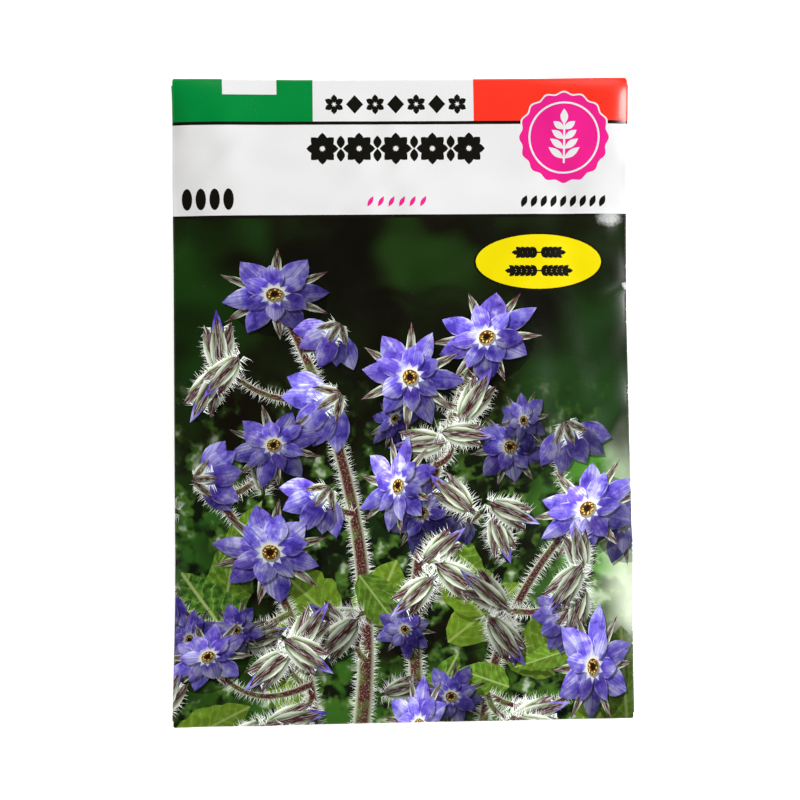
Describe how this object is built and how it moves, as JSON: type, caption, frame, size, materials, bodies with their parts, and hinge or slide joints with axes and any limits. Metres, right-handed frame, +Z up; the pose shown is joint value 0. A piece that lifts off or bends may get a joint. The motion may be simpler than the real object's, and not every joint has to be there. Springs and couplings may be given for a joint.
{
  "type": "seed packet",
  "caption": "Sealed flat packet of coated paper with a printed front, glued side seams and a glued closing flap, holding loose borage seeds.",
  "frame": {"origin": "the middle of the packet's footprint, on the surface that it lies on", "axes": "+Z up, out of the printed front; +Y along the front to its closed top edge; +X to the right of the front as it is read"},
  "size_m": [0.0824, 0.1159, 0.0042],
  "materials": {
    "printed_paper": "gloss-coated paper, printed on the front and plain on the back",
    "dried_glue": "dried adhesive",
    "seed_coat": "dark, hard and finely wrinkled nutlet"
  },
  "bodies": {
    "root": {"envelope": "printed_paper", "side_seam_glue_left": "dried_glue", "side_seam_glue_right": "dried_glue", "closing_flap_glue": "dried_glue", "seed_01": "seed_coat", "seed_02": "seed_coat", "seed_03": "seed_coat", "seed_04": "seed_coat", "seed_05": "seed_coat", "seed_06": "seed_coat", "seed_07": "seed_coat", "seed_08": "seed_coat", "seed_09": "seed_coat", "seed_10": "seed_coat", "seed_11": "seed_coat", "seed_12": "seed_coat", "seed_13": "seed_coat", "seed_14": "seed_coat", "seed_15": "seed_coat", "seed_16": "seed_coat", "seed_17": "seed_coat", "seed_18": "seed_coat", "seed_19": "seed_coat", "seed_20": "seed_coat", "seed_21": "seed_coat", "seed_22": "seed_coat", "seed_23": "seed_coat", "seed_24": "seed_coat", "seed_25": "seed_coat", "seed_26": "seed_coat", "seed_27": "seed_coat", "seed_28": "seed_coat", "seed_29": "seed_coat", "seed_30": "seed_coat", "seed_31": "seed_coat", "seed_32": "seed_coat", "seed_33": "seed_coat", "seed_34": "seed_coat", "seed_35": "seed_coat", "seed_36": "seed_coat", "seed_37": "seed_coat", "seed_38": "seed_coat", "seed_39": "seed_coat", "seed_40": "seed_coat", "seed_41": "seed_coat", "seed_42": "seed_coat", "seed_43": "seed_coat", "seed_44": "seed_coat", "seed_45": "seed_coat", "seed_46": "seed_coat", "seed_47": "seed_coat", "seed_48": "seed_coat", "seed_49": "seed_coat", "seed_50": "seed_coat", "seed_51": "seed_coat", "seed_52": "seed_coat", "seed_53": "seed_coat", "seed_54": "seed_coat", "seed_55": "seed_coat", "seed_56": "seed_coat"}
  },
  "joints": []
}
